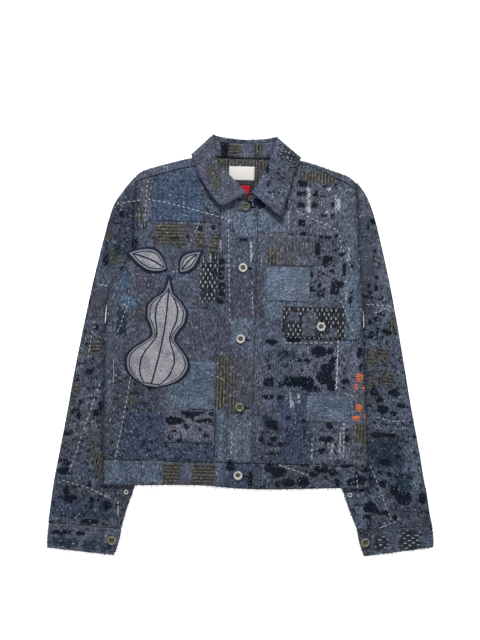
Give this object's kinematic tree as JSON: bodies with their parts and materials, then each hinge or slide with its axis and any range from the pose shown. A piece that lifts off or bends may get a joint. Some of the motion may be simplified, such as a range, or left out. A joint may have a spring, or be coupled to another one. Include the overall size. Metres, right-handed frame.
{
  "type": "patched boro work jacket, laid flat",
  "caption": "Buttoned patchwork work jacket in indigo and slate quilted cloth, laid flat on its back, with collar, flap pocket, waistband and buttoned cuffs",
  "frame": {"origin": "on the surface that the jacket lies on, under the middle of its laid outline", "axes": "+X to the wearer's left, +Y to the collar, +Z out of the chest"},
  "size_m": [0.725, 0.7935, 0.018],
  "materials": {
    "slate_cloth": "slubby woven cotton with running stitches",
    "light_indigo_cloth": "faded denim",
    "olive_stripe_cloth": "striped woven cotton",
    "dotted_navy_cloth": "navy cotton with white stitches",
    "brushed_grey_cloth": "brush printed cotton",
    "grey_brown_cloth": "washed cotton",
    "teal_navy_cloth": "dark dyed cotton",
    "applique_cloth": "pale woven cotton edged in navy satin stitch",
    "label_cream": "plain woven label",
    "label_dark": "woven label",
    "off_white_button": "satin ring",
    "dull_brass_button": "worn"
  },
  "bodies": {
    "root": {"applique_gourd": "applique_cloth", "applique_leaf_lower": "applique_cloth", "applique_leaf_upper": "applique_cloth", "back": "slate_cloth", "band_left": "slate_cloth", "band_right": "slate_cloth", "button_chest": "off_white_button", "button_cuff_left": "dull_brass_button", "button_cuff_right": "dull_brass_button", "button_flap": "off_white_button", "button_low": "dull_brass_button", "button_middle": "off_white_button", "button_neck": "dull_brass_button", "button_sleeve_left": "off_white_button", "button_sleeve_right": "off_white_button", "button_waist": "off_white_button", "collar": "slate_cloth", "collar_stand": "slate_cloth", "cuff_left": "slate_cloth", "cuff_right": "slate_cloth", "front_left": "slate_cloth", "front_right": "slate_cloth", "label_lower": "label_dark", "label_main": "label_cream", "patch_breast_left": "grey_brown_cloth", "patch_breast_right": "olive_stripe_cloth", "patch_brushed_right": "brushed_grey_cloth", "patch_dotted_right": "dotted_navy_cloth", "patch_low_left": "light_indigo_cloth", "patch_middle_left": "light_indigo_cloth", "patch_middle_right": "light_indigo_cloth", "patch_shoulder_right": "light_indigo_cloth", "patch_side_left": "olive_stripe_cloth", "patch_sleeve_left_lower": "teal_navy_cloth", "patch_sleeve_left_upper": "olive_stripe_cloth", "patch_sleeve_right": "olive_stripe_cloth", "pocket_flap": "dotted_navy_cloth", "sleeve_left": "slate_cloth", "sleeve_placket_left": "slate_cloth", "sleeve_placket_right": "slate_cloth", "sleeve_right": "slate_cloth", "waistband_back": "slate_cloth", "waistband_left": "slate_cloth", "waistband_right": "slate_cloth"}
  },
  "joints": []
}
